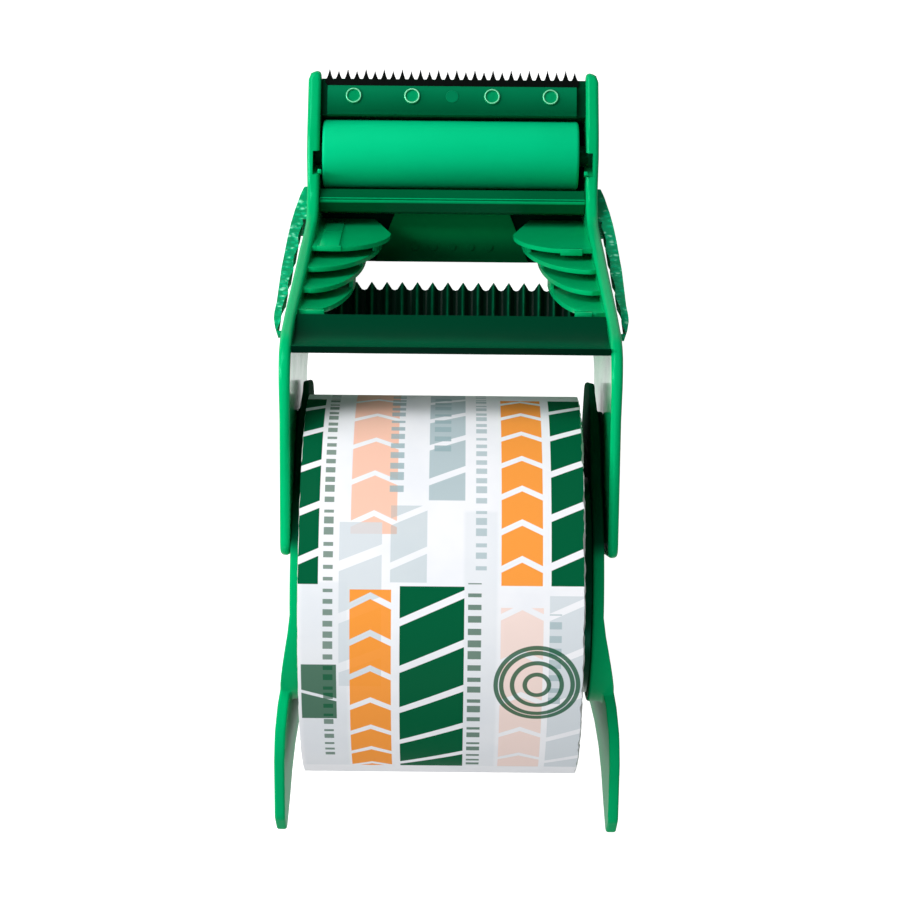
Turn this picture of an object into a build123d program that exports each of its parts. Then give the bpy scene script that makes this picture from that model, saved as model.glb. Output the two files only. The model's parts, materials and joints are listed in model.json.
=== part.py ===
"""Hand-held packing-tape dispenser, lying on its back with a 48 mm roll loaded.

Millimetres. +X across the tool, +Y from the roll towards the blade, +Z up and away
from the rest face. The rear wall of the head and the rear edges of the side plates
lie on Z = 0. Outlines are first drawn with Y measured from the roll's axis and then
shifted by ROLL_Y, which puts the origin under the middle of the whole tool.
"""

import math
import os

from build123d import *

# ---- driving dimensions -------------------------------------------------------
ROLL_Y = -29.45
ROLL_Z = 36.0
ROLL_R = 33.1
TAPE_W = 47.4
TAPE_SHIFT = -1.15
CORE_BORE_R = 19.05
CORE_R = 21.8

HEAD_IN = 25.3
WING_IN = 26.9

ARM_IN = 24.4
LEFT_ARM_IN = 25.0
TAIL_FLARE = 4.0
ARM_T = 1.85
ARM_TIP_T = 1.0
ARM_TIP_Y = (25.0, 33.0)
BOSS_R = 20.5
ARM_PAD = ((12.0, 3.5), (30.0, 42.0))
SPIGOT_CLEARANCE = 0.09
SPIGOT_LEN = 8.0
SPIGOT_WALL = 2.2
SPIGOT_FACE = 1.8
SPIGOT_LEAD = 1.6

ROLLER_Y = 85.8
ROLLER_Z = 11.2
ROLLER_R = 6.5
ROLLER_LEN = 48.8
ROLLER_SHIFT = -0.4
ROLLER_WALL = 1.3
ROLLER_ROUND = 0.35
PLUG_LEN = 7.0
PLUG_GROOVE = 0.8
PIN_R = 2.0
PIN_CLEARANCE = 0.05
PIN_REACH = 26.0
SLOT_END = 26.6
SLOT_MOUTH = (81.9, 17.5)
SLOT_OVERRUN = 1.3

BLADE_TEETH = 28
TOOTH_PITCH = 1.74
BLADE_TIP_Y = 101.85
BLADE_BASE_Y = 93.6
TOOTH_DEPTH = 2.3
TOOTH_STEP = 0.4
TOOTH_SHOULDER = 0.22
BLADE_T = 0.5
BLADE_Z = 14.0
CLAMP_SHIFT = -0.25
CLAMP_HALF = 23.8
CLAMP_Y = (92.3, 98.3)
CLAMP_T = 1.2
STAKE_X = (-18.8, -7.65, 7.65, 18.8)
STAKE_Y = 96.0
STAKE_R = 0.9
STAKE_HEAD_R = 1.55
STAKE_HEAD_T = 0.45
STAKE_DIMPLE_R = 1.1
STAKE_DIMPLE = 0.3
STAKE_FIT = 0.05

RIB_T = 0.8
RIB_TILT = math.radians(-65.0)
RIB_FIRST = (61.4, 33.1)
RIB_STEP = (-5.57, 6.93)
RIB_DEPTHS = (32.0, 30.0, 32.5, 30.5)
RIB_SPANS = (10.5, 11.8, 8.9, 7.6)
RIB_ARC_DEPTHS = (16.0, 28.0, 31.0, 29.0)
RIB_ARC_X = (22.0, 25.0, 25.0, 25.2)
RIB_CUTS = (3.5, 1.0, 0.8, 0.8)
RIB_NOSE = 1.2
RIB_WALL_X = 27.6
RISER_T = 1.2
RISER_INSET = 4.0
TIP_WALL_T = 0.7
TIP_WALL_DEPTHS = (0.0, 18.0, 23.0, 22.0)

RIDGES = 18
RIDGE_PITCH = 2.82
RIDGE_DEPTH = 1.5
COMB_LOW = (48.9, 21.0)
COMB_HIGH = (57.9, 22.5)
COMB_WEB = 1.3
COMB_SHIFT = 0.74
COMB_END = 28.0

GRIP_GAP = 0.7
GRIP_GAP_FLARE = 0.1
GRIP_GAP_ENDS = (43.0, 71.5)
GRIP_GAP_GROWTH = 0.06
GRIP_GROWTH_Y = 48.0
GRIP_GAP_STEPS = 60
GRIP_SCALLOP = 0.5
GRIP_LUMP_Y = 44.8
GRIP_LUMP_PITCH = 6.33
PLATE_SWEEP = 12.0

PALM_FRONT_Y = 66.7
PALM_T = 1.8
PANEL_T = 1.4
PANEL_Y = 77.5
PANEL_HALF = (14.8, 10.7)
PIP_PITCH = 3.6
PIP_Y = 69.6
PIP_R = 0.7

PALM_UNDERCUT = ((66.6, 3.4), (67.8, -1.0), (60.0, -1.0), (60.0, 3.4))

INNER_X = 20.0
OUTER_X = 36.0
TOP_Z = 80.0


# ---- helpers -------------------------------------------------------------------
def side_profile(points, radii, x_low, x_high):
    """A plate whose outline is drawn in Y and Z, from x_low to x_high."""
    placed = [(y + ROLL_Y, z) for y, z in points]
    outline = FilletPolyline(*placed, radius=radii, close=True)
    face = Plane.YZ.offset(x_low) * make_face(outline)
    return extrude(face, amount=x_high - x_low)


def plan_between(inner_path, outer_path, z_low=-1.0, z_high=TOP_Z):
    """The space between two paths of (x, y) points in plan, cut square in Z."""
    inner = [(x, y + ROLL_Y) for x, y in inner_path]
    outer = [(x, y + ROLL_Y) for x, y in reversed(outer_path)]
    face = make_face(Polyline(*inner, *outer, close=True))
    return Pos(0, 0, z_low) * extrude(face, amount=z_high - z_low)


def shifted(path, distance):
    """The same path in plan, moved across the tool."""
    return [(x + distance, y) for x, y in path]


def x_on_path(path, y):
    """Where a path in plan crosses a line across the tool."""
    for (x_low, y_low), (x_high, y_high) in zip(path, path[1:]):
        if y_low <= y <= y_high:
            return x_low + (x_high - x_low) * (y - y_low) / (y_high - y_low)
    return path[0][0] if y < path[0][1] else path[-1][0]


def x_cylinder(radius, x_low, x_high, y, z):
    """A round bar along X."""
    disc = Plane.YZ.offset(x_low) * Pos(y + ROLL_Y, z) * Circle(radius)
    return extrude(disc, amount=x_high - x_low)


def box_between(low, high):
    """A box from its lowest to its highest corner, Y measured from the roll's axis."""
    size = [h - l for l, h in zip(low, high)]
    centre = [(h + l) / 2 for l, h in zip(low, high)]
    return Pos(centre[0], centre[1] + ROLL_Y, centre[2]) * Box(*size)


def other_side(shape):
    """The same piece on the left."""
    return mirror(shape, about=Plane.YZ)


def save(shape, node):
    """Write one node."""
    shape.label = node
    export_step(shape, f"parts/{node}.step")


# ---- frame ---------------------------------------------------------------------
PLATE_OUTLINE = (
    (101.5, 15.9, 1.6),
    (88.5, 17.4, 14.0),
    (77.5, 16.2, 10.0),
    (71.7, 17.5, 10.5),
    (61.4, 33.1, 0.0),
    (35.2, 67.2, 10.0),
    (2.0, 55.6, 2.6),
    (9.4, 13.0, 5.0),
    (8.0, 0.0, 2.0),
    (24.7, 0.0, 7.0),
    (43.5, 18.2, 5.0),
    (53.0, 13.0, 5.0),
    (65.6, 0.0, 2.0),
    (98.5, 0.0, 3.0),
)

PLATE_IN = (
    (WING_IN, -5.0),
    (WING_IN, 37.0),
    (WING_IN - 0.15, 43.0),
    (26.25, 51.0),
    (25.7, 59.0),
    (HEAD_IN + 0.1, 66.0),
    (HEAD_IN, 73.0),
    (HEAD_IN, 105.0),
)

PLATE_OUT = (
    (28.6, -5.0),
    (28.7, 24.0),
    (28.85, 30.0),
    (28.95, 35.0),
    (28.9, 40.0),
    (28.7, 45.0),
    (28.35, 51.0),
    (27.95, 58.0),
    (27.65, 65.0),
    (27.5, 70.0),
    (27.55, 77.0),
    (27.75, 84.0),
    (27.75, 99.2),
    (27.3, 100.6),
    (26.4, 101.5),
    (26.4, 105.0),
)


def between_plates(z_high):
    """The space between the inner faces of the two side plates."""
    return plan_between([(-x, y) for x, y in PLATE_IN], PLATE_IN, -1.0, z_high)


def side_plate():
    """Right side plate: head, sloping waist and wing, with the blind axle slot."""
    points = [(y, z) for y, z, _ in PLATE_OUTLINE]
    radii = [r for _, _, r in PLATE_OUTLINE]
    plate = side_profile(points, radii, INNER_X, OUTER_X)
    plate = plate & plan_between(PLATE_IN, PLATE_OUT)
    slot_r = PIN_R + PIN_CLEARANCE
    seat = x_cylinder(slot_r, INNER_X, SLOT_END, ROLLER_Y, ROLLER_Z)
    run = (SLOT_MOUTH[0] - ROLLER_Y, SLOT_MOUTH[1] - ROLLER_Z)
    length = math.hypot(*run)
    aside = (-run[1] / length * slot_r, run[0] / length * slot_r)
    end = (ROLLER_Y + SLOT_OVERRUN * run[0], ROLLER_Z + SLOT_OVERRUN * run[1])
    corners = (
        (ROLLER_Y + aside[0], ROLLER_Z + aside[1]),
        (ROLLER_Y - aside[0], ROLLER_Z - aside[1]),
        (end[0] - aside[0], end[1] - aside[1]),
        (end[0] + aside[0], end[1] + aside[1]),
    )
    return plate - seat - side_profile(corners, 0.0, INNER_X, SLOT_END)


ARM_OUTLINE = (
    (34.7, 43.4, 1.5),
    (38.3, 27.0, 5.0),
    (22.0, 3.0, 6.0),
    (16.0, 0.0, 4.0),
    (-14.0, 0.0, 12.0),
    (-36.9, 17.8, 10.0),
    (-43.2, 24.0, 2.2),
    (-41.4, 31.0, 3.0),
    (-27.0, 41.5, 16.0),
)

ARM_SHOULDER = ((34.7, 43.4), (16.0, 48.8), (-10.0, 40.0), (10.0, 20.0))

TAIL_SHARES = (
    (0.0, 45.0),
    (0.0, -8.0),
    (0.12, -11.0),
    (0.35, -14.8),
    (0.6, -18.7),
    (0.75, -22.0),
    (0.88, -26.7),
    (0.95, -32.0),
    (1.0, -46.0),
)


def arm_band(inner):
    """Inner face of an arm in plan: flat, then flared out to where both tails end."""
    flare = ARM_IN + TAIL_FLARE - inner
    return [(inner + flare * share, y) for share, y in TAIL_SHARES]


def arm_outline():
    """Outline of the arm: a teardrop to the disc of the boss, then the tail."""
    points = [(y, z) for y, z, _ in ARM_OUTLINE]
    radii = [r for _, _, r in ARM_OUTLINE]
    leaf = side_profile(points, radii, INNER_X, OUTER_X)
    disc = x_cylinder(BOSS_R, INNER_X, OUTER_X, 0.0, ROLL_Z)
    shoulder = side_profile(ARM_SHOULDER, 0.0, INNER_X, OUTER_X)
    return leaf + disc + shoulder


def hub_arm(inner):
    """A hub arm: leaf with flared tail, boss disc and the pad that joins the plate."""
    band = arm_band(inner)
    full, thin = ARM_TIP_Y
    tip = [(inner + ARM_TIP_T, 45.0), (inner + ARM_TIP_T, thin), (inner + ARM_T, full)]
    leaf = arm_outline() & plan_between(band, tip + shifted(band, ARM_T)[1:])
    boss = x_cylinder(BOSS_R, inner, OUTER_X, 0.0, ROLL_Z)
    boss = boss & plan_between(shifted(band, -INNER_X), shifted(band, ARM_T / 2))
    pad = box_between((inner + ARM_T / 2, *ARM_PAD[0]), (WING_IN, *ARM_PAD[1]))
    return leaf + boss + (pad & arm_outline())


def core_spigot(inner):
    """A spigot: the short round hub with a tapered nose that carries the core."""
    radius = CORE_BORE_R - SPIGOT_CLEARANCE
    nose = inner - SPIGOT_LEN
    body = x_cylinder(radius, nose, inner, 0.0, ROLL_Z)
    tip_edge = body.edges().sort_by(Axis.X)[0]
    body = chamfer(tip_edge, SPIGOT_LEAD)
    hollow_end = inner - SPIGOT_FACE
    hollow = x_cylinder(radius - SPIGOT_WALL, nose - 1.0, hollow_end, 0.0, ROLL_Z)
    return body - hollow


RIB_NORMAL = (-math.sin(RIB_TILT), math.cos(RIB_TILT))


def rib_plane(index):
    """Top face of one shelf rib: local X is across the tool, local Y runs rearwards."""
    y = RIB_FIRST[0] + RIB_STEP[0] * index + ROLL_Y
    z = RIB_FIRST[1] + RIB_STEP[1] * index
    return Plane(origin=(0, y, z), x_dir=(1, 0, 0), z_dir=(0, *RIB_NORMAL))


def rib_outline(index):
    """Plan of one shelf rib: wall side, elliptical front end, chamfered rear corner."""
    arc_x = RIB_ARC_X[index]
    arc_depth = RIB_ARC_DEPTHS[index]
    depth = RIB_DEPTHS[index]
    tip = arc_x - RIB_SPANS[index]
    arc = EllipticalCenterArc(
        (arc_x, arc_depth),
        RIB_SPANS[index],
        arc_depth - RIB_NOSE,
        start_angle=180,
        arc_size=90,
    )
    sides = Polyline(
        (arc_x, RIB_NOSE),
        (RIB_WALL_X, RIB_NOSE + 1.0),
        (RIB_WALL_X, depth),
        (tip + RIB_CUTS[index], depth),
        (tip, arc_depth),
    )
    return make_face(arc + sides)


def finger_ribs():
    """Right stack of shelf ribs, tied to each other by rear risers and walls at the tips."""
    rise = -(RIB_STEP[0] * RIB_NORMAL[0] + RIB_STEP[1] * RIB_NORMAL[1])
    stack = None
    for index, depth in enumerate(RIB_DEPTHS):
        plane = rib_plane(index)
        shelf = extrude(plane * rib_outline(index), amount=-RIB_T)
        if stack is None:
            stack = shelf
            continue
        low_x = RIB_ARC_X[index] - RIB_SPANS[index] + RISER_INSET
        riser = Rectangle(RIB_WALL_X - low_x, RISER_T, align=(Align.MIN, Align.MAX))
        riser = extrude(plane * Pos(low_x, depth) * riser, amount=rise)
        edge = rib_outline(index) - Pos(TIP_WALL_T, 0) * rib_outline(index)
        start = TIP_WALL_DEPTHS[index]
        zone = Rectangle(RIB_WALL_X, depth - start, align=(Align.MIN, Align.MIN))
        edge = edge & (Pos(0, start) * zone)
        tip_wall = extrude(plane * edge, amount=rise - RIB_T / 2)
        stack = stack + shelf + riser + tip_wall
    return stack & between_plates(TOP_Z)


GRIP_OUTLINE = (
    (79.4, 3.4, 1.6),
    (80.4, 8.6, 2.0),
    (74.5, 12.6, 4.0),
    (60.5, 28.9, 0.0),
    (45.4, 48.4, 2.0),
    (41.9, 45.6, 1.6),
    (43.0, 40.5, 4.0),
    (55.4, 24.9, 0.0),
    (65.5, 10.0, 6.0),
    (70.0, 3.4, 2.0),
)

GRIP_OUT = (
    (29.9, 40.4),
    (30.5, 42.3),
    (30.9, 43.5),
    (31.1, 45.0),
    (30.9, 48.6),
    (31.0, 58.3),
    (30.7, 66.0),
    (30.4, 70.5),
    (30.0, 74.2),
    (29.2, 77.8),
    (28.2, 81.0),
)


def grip_gap():
    """Slot between plate and pad: it widens rearwards and its outer wall is scalloped."""
    (y_low, z_low), (y_high, z_high) = GRIP_OUTLINE[3][:2], GRIP_OUTLINE[4][:2]
    start, end = GRIP_GAP_ENDS
    outer = []
    for index in range(GRIP_GAP_STEPS + 1):
        y = start + (end - start) * index / GRIP_GAP_STEPS
        front_z = z_low + (z_high - z_low) * (y - y_low) / (y_high - y_low)
        turn = math.pi * (y - GRIP_LUMP_Y) / GRIP_LUMP_PITCH
        width = GRIP_GAP + GRIP_SCALLOP * abs(math.sin(turn))
        width += GRIP_GAP_GROWTH * max(0.0, GRIP_GROWTH_Y - y)
        lean = GRIP_GAP_FLARE * (TOP_Z - front_z)
        outer.append((x_on_path(PLATE_OUT, y) + width - lean, y + ROLL_Y))
    inner = [(x - PLATE_SWEEP, y) for x, y in reversed(outer)]
    face = Pos(0, 0, TOP_Z) * make_face(Polyline(*outer, *inner, close=True))
    return extrude(face, amount=TOP_Z + 2.0, dir=(GRIP_GAP_FLARE, 0, -1))


def grip_pad():
    """Right grip pad: a thin shell that stands off the plate, tied to it at both ends."""
    points = [(y, z) for y, z, _ in GRIP_OUTLINE]
    radii = [r for _, _, r in GRIP_OUTLINE]
    blank = side_profile(points, radii, INNER_X, OUTER_X)
    return (blank & plan_between(PLATE_OUT, GRIP_OUT)) - grip_gap()


def rear_palm_plate():
    """Flat rear wall of the head with a raised panel, five pips and a top lip."""
    wall = box_between((-WING_IN, PALM_FRONT_Y, 0.0), (WING_IN, 98.0, PALM_T))
    low, high = PANEL_HALF
    corners = ((-low, PALM_FRONT_Y), (low, PALM_FRONT_Y), (high, PANEL_Y), (-high, PANEL_Y))
    panel = make_face(Polyline(*[(x, y + ROLL_Y) for x, y in corners], close=True))
    plate = (wall & between_plates(TOP_Z)) + Pos(0, 0, PALM_T) * extrude(panel, amount=PANEL_T)
    for index in range(5):
        x = (index - 2) * PIP_PITCH
        pip = Pos(x, PIP_Y + ROLL_Y, PALM_T + PANEL_T) * Cylinder(PIP_R, 0.5)
        plate = plate + pip
    return plate - side_profile(PALM_UNDERCUT, 0.0, -OUTER_X, OUTER_X)


BEAM_OUTLINE = (
    (78.2, 8.0, 0.4),
    (78.2, 13.9, 0.8),
    (75.5, 15.3, 0.7),
    (73.9, 12.6, 1.0),
    (74.9, 8.0, 0.4),
)


def roller_beam():
    """Cross beam between the roller and the waist, with a rounded nose."""
    points = [(y, z) for y, z, _ in BEAM_OUTLINE]
    radii = [r for _, _, r in BEAM_OUTLINE]
    return side_profile(points, radii, -HEAD_IN, HEAD_IN)


CARRIER_OUTLINE = (
    (100.0, 3.0, 0.6),
    (100.0, BLADE_Z, 0.0),
    (92.6, BLADE_Z, 0.3),
    (92.6, 10.4, 1.0),
    (94.4, 8.0, 1.0),
    (93.6, PALM_T, 0.0),
    (98.0, PALM_T, 0.0),
)


def blade_carrier():
    """Cross beam behind the blade."""
    points = [(y, z) for y, z, _ in CARRIER_OUTLINE]
    radii = [r for _, _, r in CARRIER_OUTLINE]
    return side_profile(points, radii, -HEAD_IN, HEAD_IN)


def serrated_blade():
    """Steel blade: a thin strip with a row of pointed teeth, long and short in turn."""
    root = BLADE_TIP_Y - TOOTH_DEPTH
    first = CLAMP_SHIFT - TOOTH_PITCH * (BLADE_TEETH - 1) / 2
    last = first + TOOTH_PITCH * (BLADE_TEETH - 1)
    base = (CLAMP_SHIFT - CLAMP_HALF, CLAMP_SHIFT + CLAMP_HALF)
    points = [(base[0], BLADE_BASE_Y), (base[0], CLAMP_Y[1])]
    for index in range(BLADE_TEETH):
        x = first + TOOTH_PITCH * index
        tip = BLADE_TIP_Y if index % 2 == 0 else BLADE_TIP_Y - TOOTH_STEP
        points.append((x - TOOTH_PITCH / 2, root))
        points.append((x - TOOTH_PITCH * TOOTH_SHOULDER, root + TOOTH_SHOULDER * TOOTH_DEPTH))
        points.append((x, tip))
        points.append((x + TOOTH_PITCH * TOOTH_SHOULDER, root + TOOTH_SHOULDER * TOOTH_DEPTH))
    points.append((last + TOOTH_PITCH / 2, root))
    points += [(base[1], CLAMP_Y[1]), (base[1], BLADE_BASE_Y)]
    face = make_face(Polyline(*[(x, y + ROLL_Y) for x, y in points], close=True))
    blade = Pos(0, 0, BLADE_Z) * extrude(face, amount=BLADE_T)
    return blade - stake_holes()


def stake_holes():
    """The four holes that the stakes pass through."""
    holes = []
    for x in STAKE_X:
        hole = Cylinder(STAKE_R + STAKE_FIT, 10.0)
        holes.append(Pos(x + CLAMP_SHIFT, STAKE_Y + ROLL_Y, BLADE_Z) * hole)
    return holes


def blade_clamp():
    """Clamp strip over the blade, with its lower lip and holes for the stakes."""
    z = BLADE_Z + BLADE_T
    low = (CLAMP_SHIFT - CLAMP_HALF, CLAMP_Y[0], z)
    high = (CLAMP_SHIFT + CLAMP_HALF, CLAMP_Y[1], z + CLAMP_T)
    strip = box_between(low, high)
    strip = fillet(strip.edges().filter_by(Axis.X).group_by(Axis.Z)[-1], 0.4)
    return strip - stake_holes()


def clamp_stakes():
    """Four heat-formed posts through the blade and clamp, each with a dimpled head."""
    top = BLADE_Z + BLADE_T + CLAMP_T
    seated = (Align.CENTER, Align.CENTER, Align.MIN)
    post = Cylinder(STAKE_R, top - BLADE_Z, align=seated)
    head = Cylinder(STAKE_HEAD_R, STAKE_HEAD_T, align=seated)
    head = chamfer(head.edges().group_by(Axis.Z)[-1], STAKE_HEAD_T / 2)
    dimple = Cylinder(STAKE_DIMPLE_R, STAKE_HEAD_T, align=seated)
    stake = Pos(0, 0, BLADE_Z) * post + Pos(0, 0, top) * head
    stake = stake - Pos(0, 0, top + STAKE_HEAD_T - STAKE_DIMPLE) * dimple
    posts = [Pos(x + CLAMP_SHIFT, STAKE_Y + ROLL_Y, 0) * stake for x in STAKE_X]
    return Compound(children=posts)


def guide_comb():
    """Ridged guide bar across the waist: sharp ridges on a thin web, top cut aslant."""
    length = math.dist(COMB_LOW, COMB_HIGH)
    along = [(h - l) / length for l, h in zip(COMB_LOW, COMB_HIGH)]
    front = (-along[1], along[0])
    start = COMB_SHIFT - RIDGE_PITCH * RIDGES / 2
    section = [(COMB_END, 0.0), (COMB_END, -COMB_WEB), (-COMB_END, -COMB_WEB), (-COMB_END, 0.0)]
    for index in range(RIDGES):
        x = start + RIDGE_PITCH * index
        section.append((x, 0.0))
        section.append((x + RIDGE_PITCH * 0.16, RIDGE_DEPTH * 0.1))
        section.append((x + RIDGE_PITCH * 0.5, RIDGE_DEPTH))
        section.append((x + RIDGE_PITCH * 0.84, RIDGE_DEPTH * 0.1))
    section.append((start + RIDGE_PITCH * RIDGES, 0.0))
    plane = Plane(
        origin=(0, COMB_HIGH[0] + ROLL_Y, COMB_HIGH[1]),
        x_dir=(1, 0, 0),
        z_dir=(0, -along[0], -along[1]),
    )
    comb = extrude(plane * make_face(Polyline(*section, close=True)), amount=length)
    crest = [COMB_HIGH[i] + RIDGE_DEPTH * front[i] for i in range(2)]
    slope = [-(front[i] + along[i]) * 4.0 for i in range(2)]
    ahead = [crest[i] - slope[i] for i in range(2)]
    behind = [crest[i] + slope[i] for i in range(2)]
    above = [crest[i] + 12.0 * along[i] for i in range(2)]
    cutter = side_profile((ahead, above, behind), 0.0, -COMB_END, COMB_END)
    return (comb - cutter) & between_plates(TOP_Z)


BAR_FRONT = ((44.3, 54.2), (39.0, 58.9), (36.2, 65.4))
BAR_REAR = ((35.4, 63.8), (37.6, 57.4), (42.6, 52.6))


def lower_crossbar():
    """Front crossbar at the top of the wings: a hollow-faced bar that joins them."""
    face = ThreePointArc(*BAR_FRONT)
    rear = ThreePointArc(*BAR_REAR)
    foot = Line(BAR_FRONT[-1], BAR_REAR[0])
    top = Line(BAR_REAR[-1], BAR_FRONT[0])
    outline = [face, foot, rear, top]
    profile = Plane.YZ.offset(-WING_IN) * Pos(ROLL_Y, 0) * make_face(outline)
    return extrude(profile, amount=2 * WING_IN) & between_plates(TOP_Z)


# ---- roller --------------------------------------------------------------------
def applicator_roller():
    """Hollow plastic sleeve that presses the tape down."""
    low = ROLLER_SHIFT - ROLLER_LEN / 2
    high = ROLLER_SHIFT + ROLLER_LEN / 2
    sleeve = x_cylinder(ROLLER_R, low, high, ROLLER_Y, ROLLER_Z)
    sleeve = fillet(sleeve.edges().filter_by(GeomType.CIRCLE), ROLLER_ROUND)
    bore = x_cylinder(ROLLER_R - ROLLER_WALL, low - 1, high + 1, ROLLER_Y, ROLLER_Z)
    return sleeve - bore


def roller_plug():
    """Right end plug about the roller's middle, with its stub pin for the blind slot."""
    half = ROLLER_LEN / 2
    plug_r = ROLLER_R - ROLLER_WALL
    plug = x_cylinder(plug_r, half - PLUG_LEN, half, ROLLER_Y, ROLLER_Z)
    groove = x_cylinder(plug_r - 1.0, half - PLUG_GROOVE, half + 1.0, ROLLER_Y, ROLLER_Z)
    boss = x_cylinder(PIN_R + 1.0, half - 1.0, half, ROLLER_Y, ROLLER_Z)
    pin = x_cylinder(PIN_R, half - 1.0, PIN_REACH, ROLLER_Y, ROLLER_Z)
    return plug - groove + boss + pin


# ---- tape ----------------------------------------------------------------------
def ring(outer, inner):
    """A ring as wide as the tape, on the roll's axis."""
    low = TAPE_SHIFT - TAPE_W / 2
    high = TAPE_SHIFT + TAPE_W / 2
    bar = x_cylinder(outer, low, high, 0.0, ROLL_Z)
    return bar - x_cylinder(inner, low - 1, high + 1, 0.0, ROLL_Z)


# ---- every node ----------------------------------------------------------------
def main():
    """Build and write every node."""
    os.makedirs("parts", exist_ok=True)
    save(hub_arm(ARM_IN), "right_hub_arm")
    save(other_side(hub_arm(LEFT_ARM_IN)), "left_hub_arm")
    save(core_spigot(ARM_IN), "right_core_spigot")
    save(other_side(core_spigot(LEFT_ARM_IN)), "left_core_spigot")
    paired = {
        "side_plate": side_plate(),
        "finger_ribs": finger_ribs(),
        "grip_pad": grip_pad(),
    }
    for name, shape in paired.items():
        save(shape, f"right_{name}")
        save(other_side(shape), f"left_{name}")
    save(Pos(ROLLER_SHIFT, 0, 0) * roller_plug(), "right_roller_plug")
    save(Pos(ROLLER_SHIFT, 0, 0) * other_side(roller_plug()), "left_roller_plug")
    save(rear_palm_plate(), "rear_palm_plate")
    save(roller_beam(), "roller_beam")
    save(blade_carrier(), "blade_carrier")
    save(serrated_blade(), "serrated_blade")
    save(blade_clamp(), "blade_clamp")
    save(clamp_stakes(), "clamp_stakes")
    save(guide_comb(), "guide_comb")
    save(lower_crossbar(), "lower_crossbar")
    save(applicator_roller(), "applicator_roller")
    save(ring(CORE_R, CORE_BORE_R), "tape_core")
    save(ring(ROLL_R, CORE_R), "tape_roll")


main()
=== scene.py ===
import json
import math
import random

import bmesh
import bpy
from mathutils import Matrix, Vector


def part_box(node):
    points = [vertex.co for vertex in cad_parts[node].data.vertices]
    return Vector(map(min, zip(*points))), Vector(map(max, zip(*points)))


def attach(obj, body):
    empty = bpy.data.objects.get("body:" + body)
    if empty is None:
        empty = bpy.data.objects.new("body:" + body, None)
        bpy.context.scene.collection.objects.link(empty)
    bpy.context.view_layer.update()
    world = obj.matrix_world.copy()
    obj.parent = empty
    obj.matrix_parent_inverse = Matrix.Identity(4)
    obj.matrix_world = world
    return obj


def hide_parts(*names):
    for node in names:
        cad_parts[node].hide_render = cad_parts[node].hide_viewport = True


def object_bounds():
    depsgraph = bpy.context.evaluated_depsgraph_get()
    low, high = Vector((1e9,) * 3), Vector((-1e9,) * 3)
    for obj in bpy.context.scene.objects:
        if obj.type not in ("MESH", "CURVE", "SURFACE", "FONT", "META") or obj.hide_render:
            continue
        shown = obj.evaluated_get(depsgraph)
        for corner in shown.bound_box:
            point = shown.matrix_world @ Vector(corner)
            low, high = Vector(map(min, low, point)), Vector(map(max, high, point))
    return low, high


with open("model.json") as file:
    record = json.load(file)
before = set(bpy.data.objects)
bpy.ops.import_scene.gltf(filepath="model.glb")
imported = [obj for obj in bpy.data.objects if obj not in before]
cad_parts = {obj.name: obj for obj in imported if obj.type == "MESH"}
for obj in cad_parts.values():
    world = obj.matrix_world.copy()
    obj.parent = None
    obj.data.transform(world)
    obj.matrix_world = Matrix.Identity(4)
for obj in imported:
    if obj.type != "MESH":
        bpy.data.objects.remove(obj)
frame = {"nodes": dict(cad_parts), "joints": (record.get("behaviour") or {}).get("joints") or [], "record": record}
CAD_LOW, CAD_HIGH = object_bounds()
NODES = frame["nodes"]
BODY_OF = {n: b for b, names in frame["record"]["behaviour"]["bodies"].items() for n in names}
JOINT_AT = {j["name"]: Vector(j["pos_m"]) for j in frame["joints"]}
ROLLER_AXIS = JOINT_AT["roller_spin"]
TAPE_AXIS = JOINT_AT["tape_spin"]
CLAMP_LOW, CLAMP_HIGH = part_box("blade_clamp")
MM = 0.001


def rgb(red, green, blue):
    """A colour with full alpha."""
    return (red, green, blue, 1.0)


# ---- edges: bevel widths in metres, angles in degrees ----------------------------------------
EDGE = 0.28 * MM
FINE_EDGE = 0.15 * MM
THIN_EDGE = 0.1 * MM
BLOCK_EDGE = 0.12 * MM
RIB_EDGE = 0.18 * MM
BEAM_EDGE = 0.3 * MM
BULL_NOSE = 0.75 * MM
ARM_NOSE = 0.6 * BULL_NOSE
SHARP_ANGLE = 33.0
SMOOTH_ANGLE = 32.0
FLAT_ANGLE = 0.6
MERGE_DISTANCE = 0.002 * MM

# ---- which faces take gloss, painted shade or a painted highlight: normals, a drop, a share of the height ---
SQUARE_ON = 0.9
UPWARDS = 0.5
TAILWARDS = -0.6
NOSE_NORMALS = (0.3, 0.97)
BEAM_NOSE_DROP = 0.5 * MM
PALM_SUNK = 0.6

# ---- painted light and shade: where a colour fades into its shade, from the first Y down to the second ---
# Painted shade on the hub arms beside the wings.
ARM_PAINTED_SHADE_SPAN = (TAPE_AXIS.y + 5.0 * MM, TAPE_AXIS.y + 1.0 * MM)
# Painted lighter band low on the crossbar.
BAR_PAINTED_BAND_SPAN = (TAPE_AXIS.y + 40.0 * MM, TAPE_AXIS.y + 37.4 * MM)
# Painted light and shade on the palm panel.
PALM_PAINTED_SHADE_SPAN = (TAPE_AXIS.y + 75.5 * MM, TAPE_AXIS.y + 67.5 * MM)
# Painted shade across the clamp strip.
CLAMP_PAINTED_SHADE_SPAN = (CLAMP_HIGH.y, CLAMP_LOW.y)

# ---- comb ------------------------------------------------------------------------------------
RIDGE_PITCH = 2.82 * MM
RIDGE_MIDDLE = 0.74 * MM

# ---- axle slots, and the lip under each: its Y is from the tape's axis -----------------------
SLOT_FLOOR_X = 26.6 * MM
SLOT_REACH = 9.0 * MM
SLOT_SLACK = 0.05 * MM
SLOT_LIP_X = (24.9 * MM, 25.6 * MM)
SLOT_LIP_Y = (80.2 * MM, 81.0 * MM)
SLOT_LIP_Z = (16.2 * MM, 17.3 * MM)

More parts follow.
